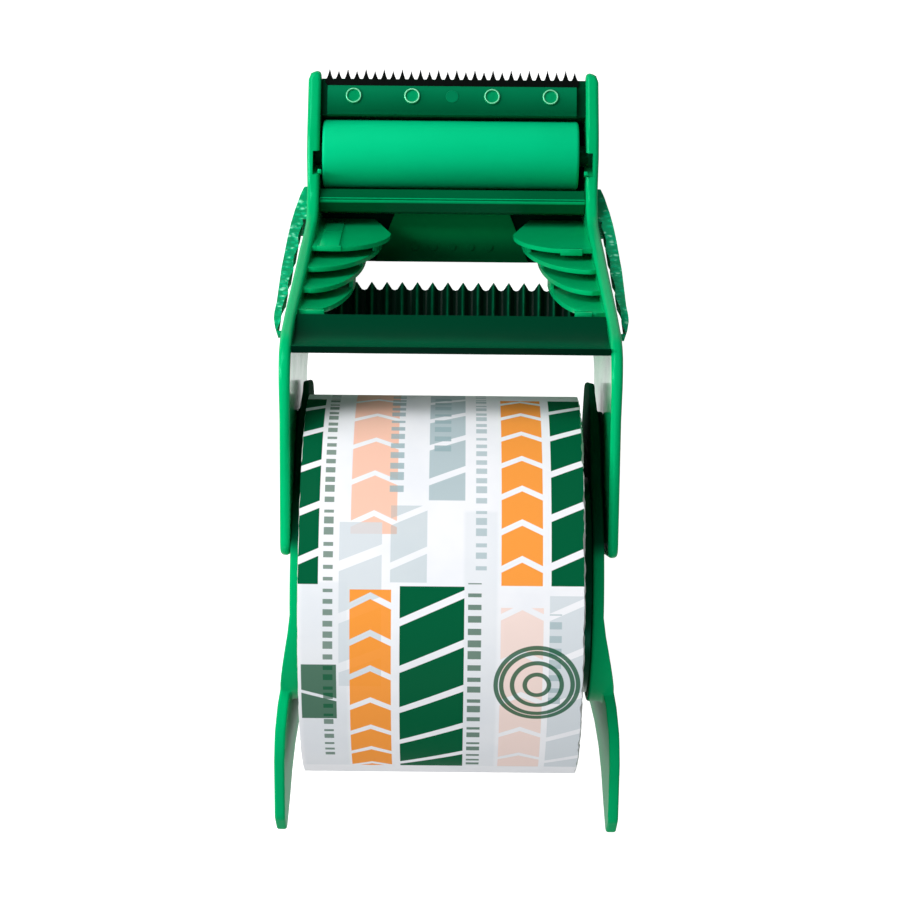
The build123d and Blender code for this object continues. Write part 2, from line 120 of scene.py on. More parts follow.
# ---- blade -----------------------------------------------------------------------------------
TEETH = 28
TOOTH_PITCH = 1.74 * MM
TOOTH_STEP = 0.4 * MM
TOOTH_DEPTH = 2.3 * MM
TOOTH_HOLLOW = 1.8
TOOTH_POINTS = 5
BLADE_SHOULDER = 0.3 * MM

# ---- clamp strip, its stakes and its gate mark -----------------------------------------------
DOME_POINTS = 10
DOME_SHOULDER = 0.35
DOME_FULLNESS = 0.45
STAKE_INNER = 7.65 * MM
STAKE_SEGMENTS = 40
# From the cup's middle outwards: share of the stake's radius, and height over the clamp.
STAKE_SECTION = (
    (0.30, 0.14 * MM),
    (0.60, 0.10 * MM),
    (0.74, 0.14 * MM),
    (0.79, 0.38 * MM),
    (0.86, 0.44 * MM),
    (0.94, 0.38 * MM),
    (1.0, 0.20 * MM),
    (1.0, 0.0),
)
RIM_STEPS = (3, 4)
GATE_MARK_R = 1.25 * MM
GATE_MARK_TAPER = 0.94
GATE_MARK_DEPTH = 0.2 * MM
GATE_MARK_SINK = 0.02 * MM

# ---- ribs in the waist: places from the tape's axis in Y -------------------------------------
RIB_TILT = math.radians(-65.0)
RIB_FIRST = Vector((0.0, 61.4, 33.1)) * MM
RIB_STEP = Vector((0.0, -5.57, 6.93)) * MM
# Name, rib counted from the head, and two corners on that rib's own frame in millimetres.
RIB_MARKS = (
    ("left_rib_tab", 0, (-24.2, 1.6, -0.3), (-20.6, 27.0, 0.3)),
    ("left_rib_step", 0, (-24.6, 0.9, -0.7), (-20.2, 2.2, 0.25)),
    ("right_rib_step", 0, (19.8, 0.8, -1.1), (23.8, 2.2, 0.1)),
    ("right_rib_nub", 3, (21.4, 0.8, -1.2), (24.4, 2.4, 0.15)),
    ("left_rib_nub", 3, (-25.3, 0.9, -1.1), (-22.0, 2.4, 0.1)),
)

# ---- roller sleeve ---------------------------------------------------------------------------
ROLLER_WALL = 1.3 * MM
ROLLER_LIP = 0.55 * MM
ROLLER_LIP_STEPS = 6
ROLLER_END_FLAT = 0.2 * MM
ROLLER_SEGMENTS = 96

# ---- tape roll -------------------------------------------------------------------------------
TAPE_LAYERS = 26
TAPE_SEGMENTS = 240
LAYER_SLIP = 0.38 * MM
WAVE_COUNTS = (3, 5, 8, 19, 31, 47, 66)
WAVE_HEIGHT = (0.04 * MM, 0.1 * MM)
WAVE_TWIST = 2.4 / MM
LEFT_RAGGEDNESS = 0.35

# ---- print on the film: colours, and slants as rise over run ---------------------------------
FILM = rgb(0.84, 0.85, 0.88)
FILM_CLOUD = rgb(0.70, 0.74, 0.80)
INK_ORANGE = rgb(0.88, 0.29, 0.012)
INK_GREEN = rgb(0.0, 0.10, 0.038)
GHOST_PEACH = rgb(0.88, 0.50, 0.36)
GHOST_SLATE = rgb(0.30, 0.42, 0.45)
GHOST_MIST = rgb(0.58, 0.64, 0.68)
GHOST_BLUSH = rgb(0.84, 0.66, 0.60)
BAR_SLANT = -0.45
CHEVRON_SLANT = 0.5

# ---- stage: sizes and places in metres, lamps in watts, angles in degrees --------------------
FLOOR_SIZE = 6.0
FLOOR_GAP = 0.05 * MM
FLOOR_MIDDLE = -30.0 * MM
FLOOR_NEAR = (45.0 * MM, 65.0 * MM)
FLOOR_GLOW = 1.0
FLOOR_FILL = 0.15
FLOOR_MIRRORED = 1.2
WORLD_GLOW = 0.25
WORLD_MIRRORED = 0.03
# Name, place, width, height and power.
LAMPS = (
    ("top_softbox", (-0.28, 0.42, 0.50), 0.35, 0.25, 2.3),
    ("front_softbox", (-0.22, -0.30, 0.75), 0.5, 0.4, 1.3),
    ("tail_softbox", (-0.10, -0.55, 0.28), 0.5, 0.2, 1.3),
    ("left_strip", (-0.45, 0.10, 0.28), 0.10, 0.5, 2.2),
    ("right_strip", (0.55, 0.0, 0.35), 0.12, 0.5, 0.08),
)
LAMP_TARGET = Vector((0.0, 0.0, 0.03))
LENS = 101.2
SENSOR = 36.0
CLIP_START = 0.01
CAMERA_AT = Vector((0.0, TAPE_AXIS.y - 54.42 * MM, 0.4800))
CAMERA_TILT = 10.0
CAMERA_ROLL = 0.55


# ---- mesh helpers ----------------------------------------------------------------------------
def put(name, mesh, body, material, replaces=()):
    """A new piece of the object: linked, riding on a body, with a finish and a material."""
    piece = bpy.data.objects.new(name, mesh)
    bpy.context.scene.collection.objects.link(piece)
    mesh.materials.append(material)
    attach(piece, body)
    if replaces:
        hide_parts(*replaces)
    return piece


def finish_mesh(bm, name, smooth_angle=SMOOTH_ANGLE):
    """A bmesh as a mesh with smooth faces and sharp edges kept."""
    bmesh.ops.recalc_face_normals(bm, faces=bm.faces)
    mesh = bpy.data.meshes.new(name)
    bm.to_mesh(mesh)
    bm.free()
    for stale in ("custom_normal", "sharp_face", "sharp_edge"):
        if stale in mesh.attributes:
            mesh.attributes.remove(mesh.attributes[stale])
    mesh.shade_smooth()
    mesh.set_sharp_from_angle(angle=math.radians(smooth_angle))
    return mesh


def bevel_sharp(bm, width, segments=2, clamp=True, keep=None):
    """Round every edge sharper than SHARP_ANGLE, but not those of the kept faces."""
    sharp = []
    for edge in bm.edges:
        if len(edge.link_faces) != 2 or edge.calc_face_angle(0.0) <= math.radians(SHARP_ANGLE):
            continue
        if keep is None or not any(keep(face) for face in edge.link_faces):
            sharp.append(edge)
    bmesh.ops.bevel(
        bm,
        geom=sharp,
        offset=width,
        offset_type="OFFSET",
        segments=segments,
        profile=0.5,
        affect="EDGES",
        clamp_overlap=clamp,
    )


def clean_copy(node):
    """A bmesh of a CAD node with its doubled corners merged and flat facets joined."""
    bm = bmesh.new()
    bm.from_mesh(NODES[node].data)
    bmesh.ops.remove_doubles(bm, verts=bm.verts, dist=MERGE_DISTANCE)
    bmesh.ops.dissolve_limit(
        bm,
        angle_limit=math.radians(FLAT_ANGLE),
        verts=bm.verts,
        edges=bm.edges,
    )
    return bm


def rounded(node, material, width=EDGE, segments=2, clamp=True, keep=None):
    """The CAD node's own shape with moulded, rounded edges, shown in its place."""
    bm = clean_copy(node)
    bevel_sharp(bm, width, segments, clamp, keep)
    mesh = finish_mesh(bm, node + "_moulded")
    piece = put(node + "_moulded", mesh, BODY_OF[node], material, [node])
    normals = piece.modifiers.new("flat faces", "WEIGHTED_NORMAL")
    normals.keep_sharp = True
    return piece


def paint(piece, material, chosen):
    """Give the chosen faces of a piece another material, such as gloss, painted shade or a painted highlight."""
    slot = len(piece.data.materials)
    piece.data.materials.append(material)
    for face in piece.data.polygons:
        if chosen(face):
            face.material_index = slot


def lathe(profile, segments):
    """A bmesh turned about local X from (x, radius) points, closed into a ring."""
    bm = bmesh.new()
    rings = []
    for index in range(segments):
        turn = 2 * math.pi * index / segments
        ring = []
        for x, radius in profile:
            ring.append(bm.verts.new((x, radius * math.sin(turn), radius * math.cos(turn))))
        rings.append(ring)
    for index, ring in enumerate(rings):
        following = rings[(index + 1) % segments]
        for step in range(len(profile)):
            after = (step + 1) % len(profile)
            bm.faces.new((ring[step], ring[after], following[after], following[step]))
    return bm


# ---- material helpers ------------------------------------------------------------------------
class Shader:
    """A procedural material and short ways to add nodes to it."""

    def __init__(self, name):
        self.material = bpy.data.materials.new(name)
        self.material.use_nodes = True
        self.tree = self.material.node_tree
        self.surface = self.tree.nodes["Principled BSDF"]

    def feed(self, socket, value):
        """Link a socket or set a number on an input."""
        if isinstance(value, bpy.types.NodeSocket):
            self.tree.links.new(value, socket)
        else:
            socket.default_value = value

    def node(self, kind, inputs, **settings):
        """A node with its settings, and its inputs by name or number."""
        made = self.tree.nodes.new(kind)
        for key, value in settings.items():
            setattr(made, key, value)
        for key, value in inputs.items():
            self.feed(made.inputs[key], value)
        return made

    def math(self, operation, *values):
        """A Math node's result."""
        inputs = dict(enumerate(values))
        return self.node("ShaderNodeMath", inputs, operation=operation).outputs[0]

    def length(self, first, second):
        """The length of a step with two sides at right angles."""
        squares = self.math("ADD", self.math("POWER", first, 2.0), self.math("POWER", second, 2.0))
        return self.math("SQRT", squares)

    def mix(self, share, first, second):
        """Two colours mixed by a share."""
        made = self.node("ShaderNodeMix", {}, data_type="RGBA")
        self.feed(made.inputs["Factor"], share)
        self.feed(made.inputs["A"], first)
        self.feed(made.inputs["B"], second)
        return made.outputs["Result"]

    def place(self):
        """The object's own coordinates."""
        return self.node("ShaderNodeTexCoord", {}).outputs["Object"]

    def axes(self):
        """The object's own coordinates as separate X, Y and Z outputs."""
        return self.node("ShaderNodeSeparateXYZ", {0: self.place()}).outputs

    def stretched(self, x, y, z):
        """The object's own coordinates with each direction scaled."""
        inputs = {"Vector": self.place(), "Scale": (x, y, z)}
        return self.node("ShaderNodeMapping", inputs).outputs["Vector"]

    def noise(self, scale, detail=2.0, roughness=0.5, vector=None):
        """Noise between 0 and 1 over the object."""
        inputs = {
            "Vector": vector or self.place(),
            "Scale": scale,
            "Detail": detail,
            "Roughness": roughness,
        }
        return self.node("ShaderNodeTexNoise", inputs).outputs["Fac"]

    def span(self, value, low, high, to_low=0.0, to_high=1.0):
        """A value mapped smoothly from one range to another."""
        inputs = {
            "Value": value,
            "From Min": low,
            "From Max": high,
            "To Min": to_low,
            "To Max": to_high,
        }
        made = self.node("ShaderNodeMapRange", inputs, interpolation_type="SMOOTHSTEP")
        return made.outputs["Result"]

    def bump(self, height, distance, strength=1.0, under=None):
        """A bump from a height, on top of another bump."""
        inputs = {"Height": height, "Distance": distance, "Strength": strength}
        made = self.node("ShaderNodeBump", inputs)
        if under is not None:
            self.feed(made.inputs["Normal"], under)
        return made.outputs["Normal"]

    def set(self, **values):
        """Inputs of the surface shader, with underscores for spaces."""
        for key, value in values.items():
            self.feed(self.surface.inputs[key.replace("_", " ")], value)


# ---- materials -------------------------------------------------------------------------------
def moulded_plastic(name, colour, shade, rough, gloss, painted_fade=None, matte=None):
    """Injection-moulded plastic: faint flow marks, a fine grain and uneven sheen.

    With a span of Y, light and shade are painted in: the colour turns into the shade from the
    first Y down to the second. With matte, that is the roughness on the first side.
    """
    made = Shader(name)
    flow = made.noise(45.0, detail=3.0, roughness=0.55)
    grain = made.noise(900.0)
    sheen = made.noise(160.0, detail=3.0, roughness=0.6)
    share = made.span(flow, 0.3, 0.75)
    if painted_fade is not None:
        wander = made.math("MULTIPLY", made.math("SUBTRACT", flow, 0.5), 2.0 * MM)
        share = made.span(made.math("ADD", made.axes()["Y"], wander), painted_fade[1], painted_fade[0], 1.0, 0.0)
    roughness = made.span(sheen, 0.3, 0.7, rough * 0.9, rough * 1.12)
    if matte is not None:
        roughness = made.span(share, 0.0, 1.0, matte, rough)
    bump = made.bump(grain, 0.003 * MM)
    bump = made.bump(flow, 0.1 * MM, strength=0.3, under=bump)
    made.set(Base_Color=made.mix(share, colour, shade), Roughness=roughness, Normal=bump)
    made.set(IOR=1.5, Specular_IOR_Level=gloss, Specular_Tint=rgb(0.05, 0.9, 0.55))
    return made.material


def ridged_plastic_painted_light(name, valley, crest_highlight):
    """Plastic comb with painted light: painted shade between the ridges and a painted highlight along each crest.
    """
    made = Shader(name)
    across = made.math("SUBTRACT", made.axes()["X"], RIDGE_MIDDLE)
    turn = made.math("FRACT", made.math("MULTIPLY", across, 1 / RIDGE_PITCH))
    away = made.math("ABSOLUTE", made.math("SUBTRACT", turn, 0.5))
    uneven = made.span(made.noise(400.0), 0.3, 0.7, 0.6, 1.0)
    # Painted highlight: a pale line along each crest, uneven along its length.
    line = made.math("MULTIPLY", made.span(away, 0.0, 0.16, 1.0, 0.0), uneven)
    made.set(Base_Color=made.mix(line, valley, crest_highlight), Roughness=0.35, Specular_IOR_Level=0.1)
    return made.material


def nubbed_grip_painted_light(name, colour, shade, crown_highlight):
    """Soft grip: close rounded nubs with pale painted highlights on their crowns and painted shade in the gaps
    between.
    """
    made = Shader(name)
    cells = made.node("ShaderNodeTexVoronoi", {"Vector": made.place(), "Scale": 750.0})
    away = cells.outputs["Distance"]
    # Painted shade darkens the gaps between the nubs.
    tone = made.mix(made.span(away, 0.3, 0.75), colour, shade)
    patch = made.span(made.noise(600.0, roughness=0.6), 0.48, 0.6)
    crown_highlight_share = made.math("MULTIPLY", made.span(away, 0.15, 0.5, 1.0, 0.0), patch)
    tone = made.mix(crown_highlight_share, tone, crown_highlight)
    bump = made.bump(made.span(away, 0.0, 0.7, 1.0, 0.0), 0.4 * MM, strength=0.5)
    made.set(Base_Color=tone, Roughness=0.5, Normal=bump, Specular_IOR_Level=0.05)
    return made.material


def black_steel(name):
    """Blackened blade steel with ground streaks."""
    made = Shader(name)
    along = made.stretched(4000.0, 250.0, 250.0)
    streak = made.noise(1.0, detail=3.0, roughness=0.6, vector=along)
    tone = made.mix(made.noise(300.0), rgb(0.0015, 0.0025, 0.002), rgb(0.004, 0.006, 0.005))
    roughness = made.span(streak, 0.3, 0.7, 0.34, 0.55)
    bump = made.bump(streak, 0.01 * MM)
    made.set(Base_Color=tone, Roughness=roughness, Normal=bump, Specular_IOR_Level=0.03)
    return made.material


def card(name):
    """Brown cardboard with fine fibres."""
    made = Shader(name)
    along = made.stretched(900.0, 2600.0, 2600.0)
    fibre = made.noise(1.0, detail=4.0, roughness=0.65, vector=along)
    tone = made.mix(fibre, rgb(0.42, 0.3, 0.18), rgb(0.62, 0.48, 0.32))
    made.set(Base_Color=tone, Roughness=0.85, Normal=made.bump(fibre, 0.05 * MM))
    return made.material


def wound_edge(name):
    """The side of the roll: many thin layers of film, with cloudy patches."""
    made = Shader(name)
    axes = made.axes()
    radius = made.length(axes["Y"], axes["Z"])
    layers = made.node(
        "ShaderNodeTexNoise",
        {"W": made.math("MULTIPLY", radius, 9000.0), "Scale": 1.0, "Detail": 2.0},
        noise_dimensions="1D",
    ).outputs["Fac"]
    cloud = made.span(made.noise(120.0, detail=3.0), 0.45, 0.75, 0.0, 0.4)
    tone = made.mix(layers, rgb(0.45, 0.5, 0.46), rgb(0.8, 0.84, 0.82))
    tone = made.mix(cloud, tone, rgb(0.3, 0.42, 0.36))
    made.set(Base_Color=tone, Roughness=0.42, Normal=made.bump(layers, 0.08 * MM))
    return made.material


class Print(Shader):
    """Film printed lengthwise: masks are drawn on the unrolled surface, in millimetres.

    A column is given by its left and right edges across the film, then its low and high
    edges along it. The print repeats every half turn of the roll.
    """

    def __init__(self, name, radius):
        super().__init__(name)
        axes = self.axes()
        self.across = self.math("MULTIPLY", axes["X"], 1 / MM)
        repeat = math.pi * radius / MM
        turn = self.math("ARCTAN2", axes["Y"], axes["Z"])
        along = self.math("MULTIPLY", turn, radius / MM)
        along = self.math("FLOORED_MODULO", self.math("ADD", along, repeat * 0.5), repeat)
        self.along = self.math("SUBTRACT", along, repeat * 0.5)

    def band(self, value, low, high, soft=0.05):
        """1 between two values, with soft edges."""
        centre = (low + high) / 2
        half = (high - low) / 2
        away = self.math("ABSOLUTE", self.math("SUBTRACT", value, centre))
        return self.span(away, half - soft, half + soft, 1.0, 0.0)

    def both(self, first, second):
        """1 where both masks are."""
        return self.math("MULTIPLY", first, second)

    def either(self, first, second):
        """1 where one of the masks is."""
        return self.math("MAXIMUM", first, second)

    def column(self, left, right, low, high, soft=0.05):
        """A rectangle on the film."""
        tall = self.band(self.along, low, high, soft)
        return self.both(self.band(self.across, left, right, soft), tall)

    def bars(self, left, right, low, high, pitch, filled, slant=BAR_SLANT, chevron=False):
        """Slanted bars, or chevrons, one after another along a column."""
        off = self.math("SUBTRACT", self.across, (left + right) / 2)
        if chevron:
            off = self.math("ABSOLUTE", off)
        shifted = self.math("ADD", self.along, self.math("MULTIPLY", off, slant))
        cell = self.math("FLOORED_MODULO", shifted, pitch)
        bar = self.band(cell, pitch * (1 - filled) / 2, pitch * (1 + filled) / 2)
        return self.both(bar, self.column(left, right, low, high))

    def chevrons(self, left, right, low, high, pitch, filled):
        """Chevrons one after another along a column."""
        return self.bars(left, right, low, high, pitch, filled, CHEVRON_SLANT, chevron=True)

    def ticks(self, left, right, low, high, pitch):
        """Fine marks of uneven length along a narrow column."""
        cell = self.math("FLOORED_MODULO", self.along, pitch)
        index = self.math("FLOOR", self.math("DIVIDE", self.along, pitch))
        chance = self.node("ShaderNodeTexWhiteNoise", {"W": index}, noise_dimensions="1D")
        width = self.math("MULTIPLY", chance.outputs["Value"], pitch * 0.45)
        mark = self.math("LESS_THAN", cell, self.math("ADD", width, pitch * 0.28))
        return self.both(mark, self.column(left, right, low, high))

    def rings(self, across, along, radii, line):
        """Rings about a point."""
        aside = self.math("SUBTRACT", self.across, across)
        ahead = self.math("SUBTRACT", self.along, along)
        away = self.length(aside, ahead)
        mask = None
        for radius in radii:
            ring = self.band(away, radius - line / 2, radius + line / 2)
            mask = ring if mask is None else self.either(mask, ring)
        return mask


def printed_film(name, radius):
    """White film with bold bars, chevrons and rings, and the layer below showing through."""
    made = Print(name, radius)
    layers = (
        (made.column(-24.2, -16.5, -45.0, -4.0, soft=0.4), GHOST_MIST, 0.35),
        (made.column(2.5, 8.0, -45.0, 8.0, soft=0.4), GHOST_MIST, 0.3),
        (made.chevrons(-16.2, -8.6, 4.0, 44.0, pitch=7.6, filled=0.86), GHOST_PEACH, 0.9),
        (made.bars(-3.4, 2.6, 10.0, 44.0, pitch=7.4, filled=0.82), GHOST_SLATE, 0.75),
        (made.bars(-9.6, -3.6, -4.0, 9.0, pitch=7.4, filled=0.84), GHOST_SLATE, 0.45),
        (made.bars(-18.0, -11.0, -22.0, 6.0, pitch=8.6, filled=0.8, slant=-0.4), GHOST_MIST, 0.8),
        (made.chevrons(8.6, 15.6, -45.0, -8.0, pitch=7.8, filled=0.86), GHOST_BLUSH, 0.9),
        (made.bars(16.6, 22.4, -45.0, -6.0, pitch=8.2, filled=0.85), GHOST_MIST, 0.8),
        (made.ticks(-9.9, -7.6, 10.0, 43.0, pitch=2.3), GHOST_SLATE, 0.85),
        (made.ticks(-2.6, 0.2, 20.0, 40.0, pitch=2.5), GHOST_SLATE, 0.9),
        (made.ticks(4.4, 6.2, -2.0, 44.0, pitch=1.9), GHOST_SLATE, 0.7),
        (made.ticks(16.6, 18.6, -26.0, -9.0, pitch=2.3), GHOST_SLATE, 0.7),
        (made.ticks(-20.6, -19.0, -40.0, 44.0, pitch=1.9), INK_GREEN, 0.75),
        (made.ticks(3.2, 5.4, -45.0, -4.0, pitch=2.1), INK_GREEN, 0.8),
        (made.bars(-25.4, -21.4, -4.4, 38.0, pitch=8.2, filled=0.84), INK_GREEN, 1.0),
        (made.bars(16.8, 22.2, -4.4, 38.0, pitch=8.2, filled=0.84), INK_GREEN, 1.0),
        (made.bars(-8.0, 2.6, -45.0, -4.6, pitch=8.2, filled=0.84), INK_GREEN, 1.0),
        (made.chevrons(8.6, 15.4, -4.4, 38.0, pitch=6.2, filled=0.82), INK_ORANGE, 0.95),
        (made.chevrons(-16.2, -9.4, -45.0, -5.2, pitch=6.2, filled=0.82), INK_ORANGE, 0.95),
        (made.rings(14.7, -21.5, (2.0, 4.1, 5.9, 6.8), line=0.75), INK_GREEN, 0.9),
        (made.bars(-24.2, -18.4, -29.0, -18.0, pitch=12.0, filled=0.95, slant=0.3), INK_GREEN, 0.9),
    )
    cloud = made.noise(70.0, detail=3.0, roughness=0.6)
    tone = made.mix(made.span(cloud, 0.4, 0.7, 0.0, 0.35), FILM, FILM_CLOUD)
    for mask, colour, share in layers:
        tone = made.mix(made.math("MULTIPLY", mask, share), tone, colour)
    round_the_roll = made.stretched(30.0, 160.0, 160.0)
    wrinkle = made.noise(1.0, detail=3.0, roughness=0.55, vector=round_the_roll)
    bump = made.bump(wrinkle, 0.12 * MM, strength=0.6)
    made.set(Base_Color=tone, Roughness=0.5, Normal=bump, Specular_IOR_Level=0.03)
    return made.material


# ---- frame pieces ----------------------------------------------------------------------------
def in_slot(face):
    """Whether a side plate's face is the wall or the floor of its axle slot."""
    deepest = max(abs(vert.co.x) for vert in face.verts)
    near = all(abs(vert.co.y - ROLLER_AXIS.y) < SLOT_REACH for vert in face.verts)
    return near and abs(deepest - SLOT_FLOOR_X) < SLOT_SLACK


def side_plate(side, plastic, polished):
    """Side plate: bull-nosed rim, polished inner face, and the axle slot left square."""
    piece = rounded(f"{side}_side_plate", plastic, BULL_NOSE, 4, False, in_slot)
    inwards = 1 if side == "left" else -1
    paint(piece, polished, lambda face: face.normal.x * inwards > SQUARE_ON)
    return piece


def palm_plate(panel, recess_shadow):
    """Rear wall: the raised panel takes painted light and shade, and the sunk wall round it painted shadow."""
    piece = rounded("rear_palm_plate", panel, FINE_EDGE)
    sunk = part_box("rear_palm_plate")[1].z * PALM_SUNK
    paint(piece, recess_shadow, lambda face: face.center.z < sunk and face.normal.z > UPWARDS)
    return piece


def roller_beam(plastic, nose_highlight):
    """Beam under the roller in painted shade, with a painted highlight on the rounded nose along its front."""
    piece = rounded("roller_beam", plastic, BEAM_EDGE, 4)
    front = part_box("roller_beam")[1].z - BEAM_NOSE_DROP
    low, high = NOSE_NORMALS
    paint(piece, nose_highlight, lambda face: face.center.z > front and low < face.normal.z < high)
    return piece


def lower_crossbar(plastic, shadow):
    """Crossbar under the comb, with painted shadow on its low faces towards the tail."""
    piece = rounded("lower_crossbar", plastic, FINE_EDGE)
    paint(piece, shadow, lambda face: face.normal.y < TAILWARDS and face.normal.z < UPWARDS)
    return piece


def soft_block(name, low, high, place, slot, material):
    """A small rounded block between two corners of a local frame."""
    bm = bmesh.new()
    bmesh.ops.create_cube(bm, size=1.0)
    bmesh.ops.scale(bm, vec=high - low, verts=bm.verts)
    bmesh.ops.translate(bm, vec=(high + low) / 2, verts=bm.verts)
    bevel_sharp(bm, BLOCK_EDGE)
    bmesh.ops.transform(bm, matrix=place, verts=bm.verts)
    return put(name, finish_mesh(bm, name), "frame", material)


def rib_place(index):
    """Frame on a rib's top face: X across the tool, Y rearwards, Z out of the face."""
    origin = Vector((0.0, TAPE_AXIS.y, 0.0)) + RIB_FIRST + RIB_STEP * index
    return Matrix.Translation(origin) @ Matrix.Rotation(RIB_TILT, 4, "X")


def rib_marks(material):
    """Raised tabs and small steps on the ribs' front edges."""
    for name, index, low, high in RIB_MARKS:
        corners = [Vector(corner) * MM for corner in (low, high)]
        soft_block(name, *corners, rib_place(index), "frame_green", material)


def slot_lips(material):
    """The small ramp under each axle slot that guides the pin in."""
    place = Matrix.Translation((0.0, TAPE_AXIS.y, 0.0))
    for side, sign in (("left", -1), ("right", 1)):
        left, right = sorted(sign * x for x in SLOT_LIP_X)
        low = Vector((left, SLOT_LIP_Y[0], SLOT_LIP_Z[0]))
        high = Vector((right, SLOT_LIP_Y[1], SLOT_LIP_Z[1]))
        soft_block(f"{side}_slot_lip", low, high, place, "frame_green", material)


# ---- blade and clamp -------------------------------------------------------------------------
def blade_outline(low, high):
    """Blade outline: pointed teeth, long and short in turn, with hollow flanks."""
    valley = high.y - TOOTH_DEPTH
    shoulder = valley - BLADE_SHOULDER
    points = [
        (CLAMP_HIGH.x, CLAMP_HIGH.y),
        (CLAMP_HIGH.x, low.y),
        (CLAMP_LOW.x, low.y),
        (CLAMP_LOW.x, CLAMP_HIGH.y),
        (low.x, shoulder),
    ]
    first = (low.x + high.x) / 2 - TOOTH_PITCH * (TEETH - 1) / 2
    for index in range(TEETH):
        centre = first + TOOTH_PITCH * index
        tip = high.y if index % 2 == 0 else high.y - TOOTH_STEP
        for step in range(-TOOTH_POINTS, TOOTH_POINTS + 1):
            share = step / TOOTH_POINTS
            rise = (1 - abs(share)) ** TOOTH_HOLLOW
            x = centre + share * TOOTH_PITCH / 2
            points.append((x, valley + (tip - valley) * rise))
    points.append((high.x, shoulder))
    return points


def serrated_blade(material):
    """Thin toothed strip."""
    low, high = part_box("serrated_blade")
    bm = bmesh.new()
    corners = [bm.verts.new((x, y, low.z)) for x, y in blade_outline(low, high)]
    bmesh.ops.remove_doubles(bm, verts=corners, dist=0.001 * MM)
    bm.verts.ensure_lookup_table()
    face = bm.faces.new(bm.verts)
    raised = bmesh.ops.extrude_face_region(bm, geom=[face])
    moved = [v for v in raised["geom"] if isinstance(v, bmesh.types.BMVert)]
    bmesh.ops.translate(bm, verts=moved, vec=(0, 0, high.z - low.z))
    mesh = finish_mesh(bm, "toothed_blade", 25.0)
    return put("toothed_blade", mesh, "frame", material, ["serrated_blade"])


def domed_clamp(material):
    """Clamp strip whose top face is gently domed from edge to edge."""
    low, high = CLAMP_LOW, CLAMP_HIGH
    section = [(high.y, low.z), (low.y, low.z)]
    for step in range(DOME_POINTS + 1):
        turn = math.pi * (1 - step / DOME_POINTS)
        y = (low.y + high.y) / 2 + (high.y - low.y) / 2 * math.cos(turn)
        rise = math.sin(turn) ** DOME_FULLNESS
        height = DOME_SHOULDER + (1 - DOME_SHOULDER) * rise
        section.append((y, low.z + (high.z - low.z) * height))
    bm = bmesh.new()
    ends = []
    for x in (low.x, high.x):
        ends.append([bm.verts.new((x, y, z)) for y, z in section])
    bm.faces.new(ends[0])
    bm.faces.new(list(reversed(ends[1])))
    for index in range(len(section)):
        after = (index + 1) % len(section)
        bm.faces.new((ends[0][index], ends[1][index], ends[1][after], ends[0][after]))
    mesh = finish_mesh(bm, "domed_clamp", 40.0)
    return put("domed_clamp", mesh, "frame", material, ["blade_clamp"])


def stake_head(name, centre, radius, plastic, rim_highlight):
    """A heat-formed stake head: a raised rim with a pale painted highlight round a shallow cup."""
    bm = bmesh.new()
    rings = []
    for share, height in STAKE_SECTION:
        ring = []
        for index in range(STAKE_SEGMENTS):
            turn = 2 * math.pi * index / STAKE_SEGMENTS
            x = centre.x + radius * share * math.cos(turn)
            y = centre.y + radius * share * math.sin(turn)
            ring.append(bm.verts.new((x, y, centre.z + height)))
        rings.append(ring)
    bm.faces.new(rings[0])
    bm.faces.new(list(reversed(rings[-1])))
    for step, (inner, outer) in enumerate(zip(rings, rings[1:])):
        for index in range(STAKE_SEGMENTS):
            after = (index + 1) % STAKE_SEGMENTS
            face = bm.faces.new((inner[index], outer[index], outer[after], inner[after]))
            # The rim rings take the painted highlight.
            face.material_index = 1 if step in RIM_STEPS else 0
    mesh = finish_mesh(bm, name, 50.0)
    piece = put(name, mesh, "frame", plastic, ["clamp_stakes"])
    mesh.materials.append(rim_highlight)
    return piece


def gate_mark(centre, material):
    """The faint round mark on the clamp strip's middle."""
    bm = bmesh.new()
    bmesh.ops.create_cone(
        bm,
        cap_ends=True,
        segments=STAKE_SEGMENTS,
        radius1=GATE_MARK_R,
        radius2=GATE_MARK_R * GATE_MARK_TAPER,
        depth=GATE_MARK_DEPTH,
    )
    bmesh.ops.translate(bm, verts=bm.verts, vec=(centre.x, centre.y, centre.z - GATE_MARK_SINK))
    return put("gate_mark", finish_mesh(bm, "gate_mark"), "frame", material)


def stake_heads(plastic, rim_highlight, mark):
    """The four stake heads in a row, and the gate mark between them."""
    low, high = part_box("clamp_stakes")
    radius = (high.y - low.y) / 2
    middle = Vector(((low.x + high.x) / 2, (low.y + high.y) / 2, CLAMP_HIGH.z))
    outer = high.x - radius - middle.x
    for index, offset in enumerate((-outer, -STAKE_INNER, STAKE_INNER, outer)):
        centre = middle + Vector((offset, 0.0, 0.0))
        stake_head(f"stake_head_{index + 1}", centre, radius, plastic, rim_highlight)
    gate_mark(middle, mark)


